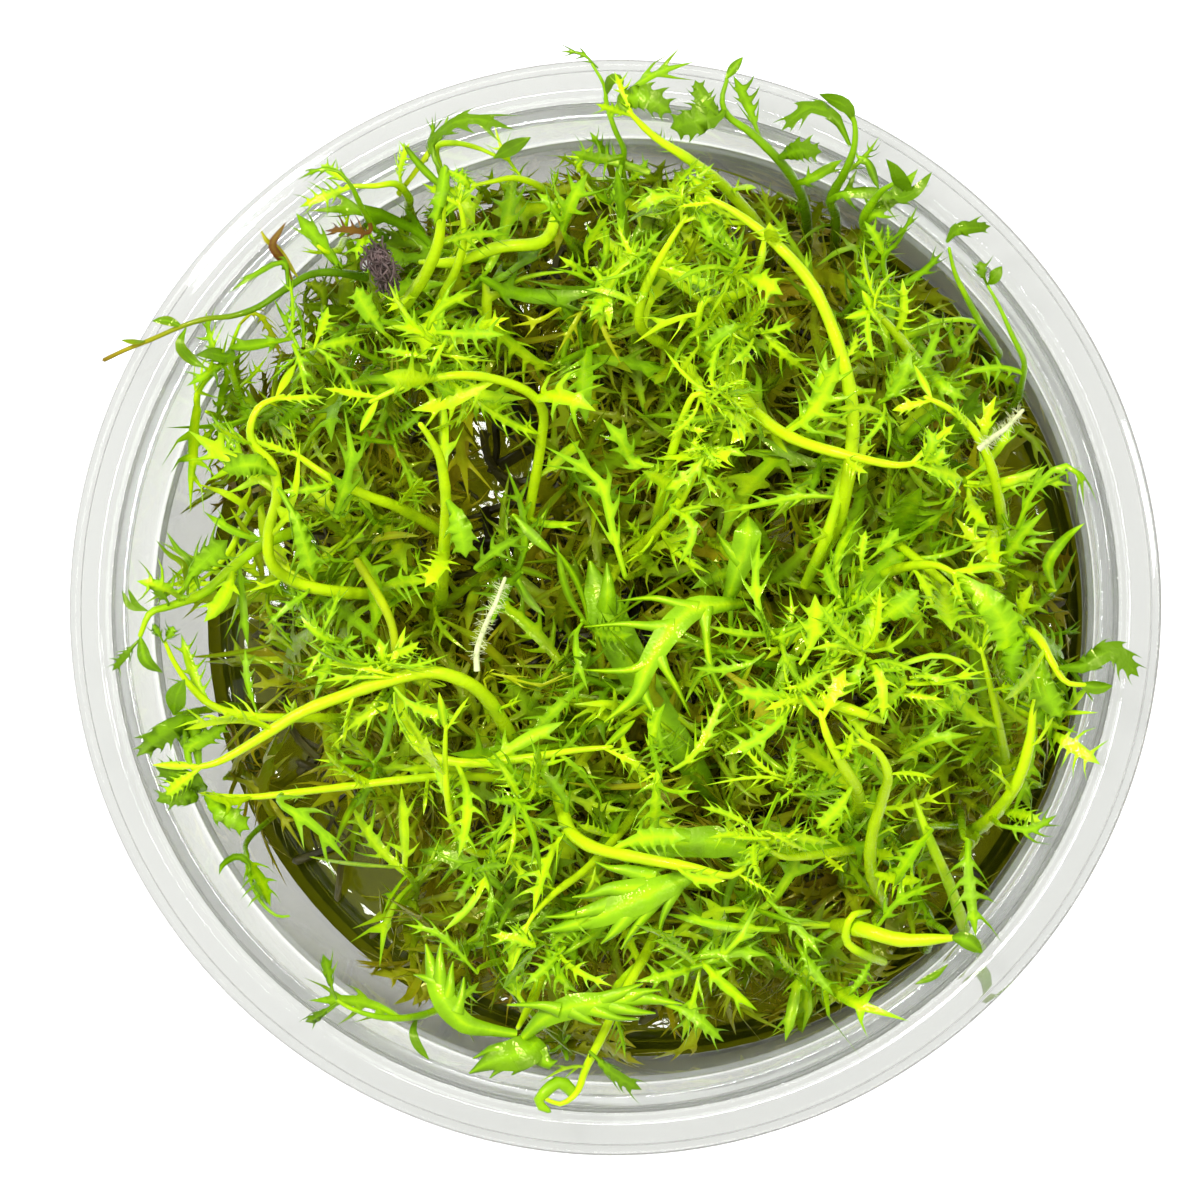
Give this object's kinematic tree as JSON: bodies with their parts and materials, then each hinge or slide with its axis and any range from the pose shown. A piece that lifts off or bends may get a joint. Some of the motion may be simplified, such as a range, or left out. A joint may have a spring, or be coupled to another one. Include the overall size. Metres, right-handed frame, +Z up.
{
  "type": "mermaid weed in a culture cup",
  "caption": "Clear round culture cup, open, with arching mermaid weed shoots and leaves rooted in a layer of nutrient gel.",
  "frame": {"origin": "middle of the cup's flat underside, on the surface that it stands on", "axes": "+Z up out of the cup's mouth, -Z out of the underside, +Y towards the side where the plumed shoots lean over the rim, +X to the right when seen from -Y"},
  "size_m": [0.1, 0.1012, 0.0634],
  "materials": {
    "cup_plastic": "clear, glossy",
    "nutrient_gel": "clear, moist",
    "lime_stem": "smooth, moist",
    "green_leaf": "smooth, moist",
    "white_root": "fine, hairy",
    "withered_tissue": "dull, fibrous"
  },
  "bodies": {
    "root": {"culture_cup": "cup_plastic", "nutrient_gel": "nutrient_gel", "long_arch_stem": "lime_stem", "top_thick_stem": "lime_stem", "top_tip_sprig": "lime_stem", "crown_left_stem": "lime_stem", "looped_stem": "lime_stem", "kinked_stem": "lime_stem", "hooked_stem": "lime_stem", "leaning_stem": "lime_stem", "left_hook_stem": "lime_stem", "left_long_stem": "lime_stem", "left_rim_sprig": "lime_stem", "left_rim_twin": "lime_stem", "left_cascade_stem": "lime_stem", "long_bow_stem": "lime_stem", "hanging_hook_stem": "lime_stem", "lower_long_stem": "lime_stem", "low_u_stem": "lime_stem", "bottom_swoop_stem": "lime_stem", "bottom_bar_stem": "lime_stem", "right_stub_stem": "lime_stem", "front_thick_stem": "lime_stem", "right_leaf_stem": "lime_stem", "right_short_stem": "lime_stem", "right_long_stem": "lime_stem", "upper_right_stem": "lime_stem", "right_overhang_shoot": "lime_stem", "right_lower_stem": "lime_stem", "right_inner_stem": "lime_stem", "bottom_loop_shoot": "lime_stem", "bottom_left_stem": "lime_stem", "bottom_sprig": "lime_stem", "bottom_left_tip_shoot": "lime_stem", "left_curl_sprig": "lime_stem", "top_left_arch_stem": "lime_stem", "top_left_twin_stem": "lime_stem", "top_left_bud_shoot": "lime_stem", "top_left_bar_stem": "lime_stem", "top_right_sprig": "lime_stem", "right_top_curl": "lime_stem", "right_top_bud_shoot": "lime_stem", "right_top_wisp": "lime_stem", "right_rim_leaf_shoot": "lime_stem", "right_rim_thin_shoot": "lime_stem", "left_top_runner": "lime_stem", "left_top_hanger": "lime_stem", "left_top_tip_shoot": "lime_stem", "left_top_bar_stem": "lime_stem", "left_top_leaf_shoot": "lime_stem", "centre_arch_stem": "lime_stem", "cut_centre_stem": "lime_stem", "broad_blade_leaf": "green_leaf", "star_lobed_leaf": "green_leaf", "left_root": "white_root", "right_root": "white_root", "withered_tuft": "withered_tissue"}
  },
  "joints": []
}
